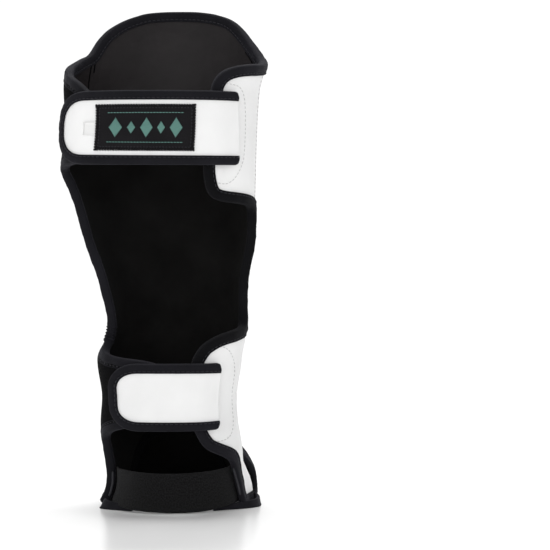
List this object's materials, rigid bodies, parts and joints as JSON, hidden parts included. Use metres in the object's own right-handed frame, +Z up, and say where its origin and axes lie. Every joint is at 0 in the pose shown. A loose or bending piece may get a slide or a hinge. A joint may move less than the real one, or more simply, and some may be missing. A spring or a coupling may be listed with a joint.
{
  "type": "muay thai shin guard",
  "caption": "Padded leather shin and instep guard with bound edges, closing tabs, hook and loop straps across the calf and an elastic behind the heel.",
  "frame": {"origin": "middle of the guard's box, on the floor that it stands on", "axes": "+Z up along the leg, +Y towards the shin and toes, -Y towards the calf with the straps, +X to the right seen from behind"},
  "size_m": [0.1824, 0.227, 0.4415],
  "materials": {
    "leather": "smooth white, low gloss",
    "lining": "black, satin sheen",
    "binding": "charcoal woven tape, matte",
    "loop": "black brushed loop pile",
    "elastic": "black knit rib",
    "woven": "black woven label",
    "tag": "white satin tag, bare"
  },
  "bodies": {
    "root": {"leg_lining": "lining", "leg_shell": "leather", "leg_binding": "binding", "leg_hem": "binding", "instep_lining": "lining", "instep_shell": "leather", "instep_binding": "binding", "upper_strap": "leather", "upper_strap_binding": "binding", "lower_strap": "leather", "lower_strap_binding": "binding", "upper_loop_panel": "loop", "lower_loop_panel": "loop", "patch": "woven", "size_tag": "tag", "foot_elastic": "elastic"}
  },
  "joints": []
}
